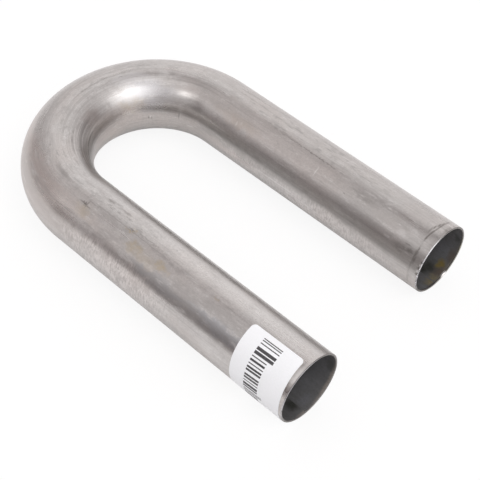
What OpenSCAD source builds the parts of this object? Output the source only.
// Return bend: thin round tube turned back on itself, lying flat, with a paper label on one leg.
// Millimetres. +Z is up, the legs run along -Y and the bend is at +Y.
// The origin is under the middle of the tube's outline, on the surface it lies on.

/* [Tube] */
// Outside diameter of the tube
tube_d = 47.6; // [45:0.1:76]
// Thickness of the wall
wall = 1.25; // [0.9:0.05:3]
// Size of the broken edge inside and outside each cut end
edge_break = 0.3; // [0.1:0.05:0.4]

/* [Bend] */
// Radius of the bend at the tube's centreline
bend_r = 64.5; // [50:0.5:150]

/* [Legs] */
// Straight length of the leg with the label
near_leg = 195.2; // [80:0.1:400]
// Straight length of the other leg
far_leg = 187.5; // [80:0.1:400]

/* [Nick] */
// Width of the nick in the inner edge of the far leg's rim
nick_w = 5.6; // [2:0.1:10]
// Depth of the nick along the tube, at the bore
nick_depth = 0.8; // [0.5:0.1:2]
// Thickness of the wall left standing outside the nick
nick_lip = 0.5; // [0.45:0.05:0.6]
// Place of the nick round the rim, from the +X side up over the top
nick_angle = 292; // [0:1:359]

/* [Label] */
// Length of the label along the tube
label_l = 38.1; // [20:0.1:60]
// Length of the label round the tube
label_w = 67; // [40:0.5:68]
// Thickness of the paper
label_t = 0.12; // [0.08:0.01:0.3]
// Thickness of the adhesive under the paper
label_glue = 0.03; // [0.02:0.01:0.1]
// Bare tube between the cut end and the label, at the middle of the label's width
label_set = 2.2; // [2.2:0.1:18]
// Angle from the top of the tube to the label's first edge
label_start = 4.5; // [0:0.5:8]
// Tilt of the label, which was stuck on askew
label_tilt = 4; // [0:0.5:4]
// Radius of the label's corners
label_corner = 2.7; // [1:0.1:6]

/* [Hidden] */
$fn = 96;

tube_r = tube_d / 2;
bore_r = tube_r - wall;

// Place of the bend's centre that puts the whole outline's middle over the origin
bend_y = (max(near_leg, far_leg) - bend_r - tube_r) / 2;

// Slant of the nick, from nothing at its lip to its full depth at the bore
nick_slant = atan2(nick_depth, wall - nick_lip);

// Circle through the nick's deepest point and its two corners on the rim, square to the slant
nick_bite = nick_depth * cos(nick_slant);
nick_r = (nick_w * nick_w / 4 + nick_bite * nick_bite) / (2 * nick_bite);

// Half length of the round column that cuts the nick, clear of the wall at both its ends
nick_reach = 3 * wall + nick_depth;

// Inner face of the paper, on its adhesive round the tube, and the angle that it covers
label_r = tube_r + label_glue;
label_angle = label_w / label_r * 180 / PI;

// Half depth of the block that trims the paper to its outline, clear of the paper when tilted
trim = 3;

// Corners of the label: angle round the tube, end along the tube, quarter turn of the cut
label_corners = [
    [0, 0, 0],
    [0, 1, -90],
    [label_angle, 0, 90],
    [label_angle, 1, 180]
];

// Straight wall along -Y from the bend, revolved from its section, with a broken edge at the cut end
module leg(length) {
    rotate([90, 0, 0])
        rotate_extrude()
            polygon([
                [bore_r, 0],
                [tube_r, 0],
                [tube_r, length - edge_break],
                [tube_r - edge_break, length],
                [bore_r + edge_break, length],
                [bore_r, length - edge_break]
            ]);
}

// Half turn of the same wall
module half_turn() {
    rotate_extrude(angle = 180)
        translate([bend_r, 0])
            difference() {
                circle(r = tube_r);
                circle(r = bore_r);
            }
}

// Slanted round-bottomed bite out of the inner edge of the far leg's rim
module nick() {
    translate([bend_r, -far_leg, 0])
        rotate([0, -nick_angle, 0])
            translate([tube_r - nick_lip, 0, 0])
                rotate([0, 0, -nick_slant])
                    translate([-nick_reach, -nick_r, 0])
                        rotate([0, 90, 0])
                            cylinder(r = nick_r, h = 2 * nick_reach);
}

// What a rounded corner leaves over: a square column along X less a round one
module corner_cut() {
    translate([label_r - 2 * trim, 0, 0])
        difference() {
            translate([0, -label_corner, -label_corner])
                cube([4 * trim, 2 * label_corner, 2 * label_corner]);
            translate([-trim, label_corner, label_corner])
                rotate([0, 90, 0])
                    cylinder(r = label_corner, h = 6 * trim);
        }
}

// Outline of the label as a thick block round the tube, its middle angle on +X and its middle at z = 0
module label_outline() {
    translate([0, 0, -label_l / 2])
        rotate([0, 0, -label_angle / 2])
            difference() {
                rotate_extrude(angle = label_angle)
                    translate([label_r - trim, 0])
                        square([2 * trim, label_l]);
                for (corner = label_corners)
                    rotate([0, 0, corner[0]])
                        translate([0, 0, corner[1] * label_l])
                            rotate([corner[2], 0, 0])
                                corner_cut();
            }
}

module bent_tube() {
    color([0.72, 0.70, 0.68])
        translate([0, bend_y, tube_r])
            difference() {
                union() {
                    half_turn();
                    translate([-bend_r, 0, 0])
                        leg(near_leg);
                    translate([bend_r, 0, 0])
                        leg(far_leg);
                }
                nick();
            }
}

module paper_label() {
    color([0.95, 0.94, 0.96])
        translate([-bend_r, bend_y - near_leg + label_set + label_l / 2, tube_r])
            rotate([90, 0, 0])
                rotate([0, 0, 90 + label_start + label_angle / 2])
                    intersection() {
                        translate([0, 0, -label_l])
                            rotate_extrude()
                                translate([label_r, 0])
                                    square([label_t, 2 * label_l]);
                        rotate([label_tilt, 0, 0])
                            label_outline();
                    }
}

bent_tube();
paper_label();
